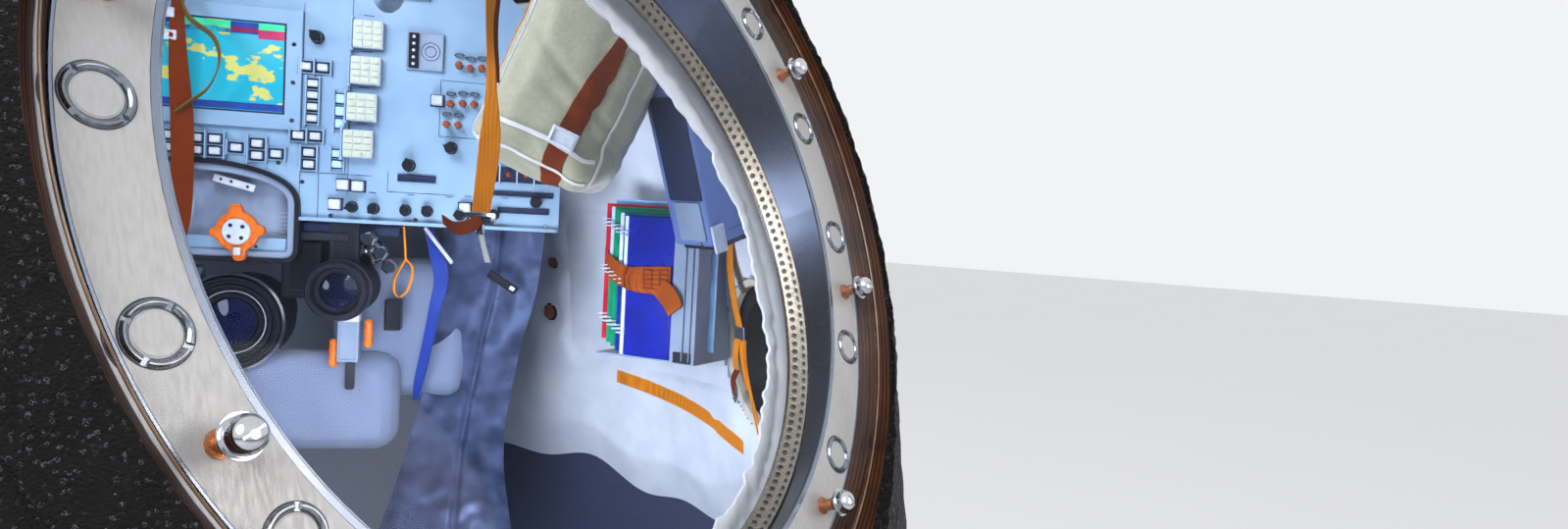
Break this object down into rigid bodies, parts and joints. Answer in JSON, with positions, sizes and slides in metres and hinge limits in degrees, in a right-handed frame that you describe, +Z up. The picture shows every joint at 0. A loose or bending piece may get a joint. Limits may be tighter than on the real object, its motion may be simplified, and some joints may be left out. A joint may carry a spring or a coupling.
{
  "type": "crew descent capsule",
  "caption": "Bell-shaped crew descent capsule on its base ring, with a round side mouth behind a clear pane, a fitted cabin, portholes and an inward-opening top hatch.",
  "frame": {"origin": "centre of the base ring on the floor", "axes": "+Z up along the capsule's axis, -Y out of the side mouth"},
  "size_m": [2.1672, 2.1674, 1.8852],
  "materials": {
    "charred_ablator": "rough charred phenolic",
    "laminate": "satin bonded laminate",
    "frame_alloy": "brushed",
    "polished_steel": "polished",
    "chrome": "bright",
    "copper_alloy": "satin",
    "clear_pane": "clear",
    "port_glass": "smoked",
    "steel_dark": "satin",
    "white_padding": "smooth",
    "grey_padding": "matte",
    "console_enamel": "satin",
    "screen": "backlit",
    "key_cream": "satin",
    "black_plastic": "satin",
    "red_cap": "satin",
    "gauge_grey": "clear",
    "orange_plastic": "satin",
    "equipment_grey": "satin",
    "book_cover": "gloss",
    "orange_webbing": "woven",
    "brown_webbing": "woven",
    "cream_fleece": "brushed",
    "liner_grey": "woven",
    "floor_sheet": "matte"
  },
  "bodies": {
    "capsule": {"base_frame": "frame_alloy", "base_bulkhead": "floor_sheet", "bulkhead_ribs": "floor_sheet", "landing_motors": "steel_dark", "side_shell": "charred_ablator", "upper_shell": "charred_ablator", "laminate_band": "laminate", "mouth_collar": "polished_steel", "mouth_flange": "frame_alloy", "insert_nuts": "chrome", "standoffs": "copper_alloy", "standoff_heads": "chrome", "mouth_pane": "clear_pane", "strip_ring": "polished_steel", "mouth_sleeve": "white_padding", "hatch_frame": "frame_alloy", "hinge_lugs": "steel_dark", "hinge_pin": "steel_dark", "porthole_frame_right": "steel_dark", "porthole_frame_left": "steel_dark", "porthole_glass_right": "port_glass", "porthole_glass_left": "port_glass", "reserve_cover": "charred_ablator", "periscope_head": "steel_dark", "thrusters": "steel_dark", "umbilical_plate": "steel_dark", "cabin_floor": "floor_sheet", "white_lining": "white_padding", "grey_lining": "grey_padding", "console_panel": "console_enamel", "console_arms": "steel_dark", "display": "screen", "key_blocks": "key_cream", "indicators": "key_cream", "console_knobs": "black_plastic", "console_switches": "red_cap", "gauge": "gauge_grey", "screen_housing": "black_plastic", "valve_knob": "orange_plastic", "optical_sight": "black_plastic", "lens_unit": "black_plastic", "grip_bracket": "equipment_grey", "books": "book_cover", "book_holder": "equipment_grey", "book_band": "orange_webbing", "cargo_bag": "cream_fleece", "bag_band": "brown_webbing", "equipment_box": "equipment_grey", "hanging_strap": "orange_webbing", "strap_buckle": "chrome", "side_strap": "brown_webbing", "pull_loop": "orange_webbing", "seat_shells": "steel_dark", "seat_liners": "liner_grey"},
    "hatch": {"hatch_lid": "frame_alloy", "hatch_lock": "steel_dark"}
  },
  "joints": [
    {"name": "hatch_hinge", "type": "hinge", "parent": "capsule", "child": "hatch", "pos_m": [-0.24395, -0.24395, 1.76719], "axis": [-0.7071, 0.7071, 0], "range_deg": [0, 95]}
  ]
}
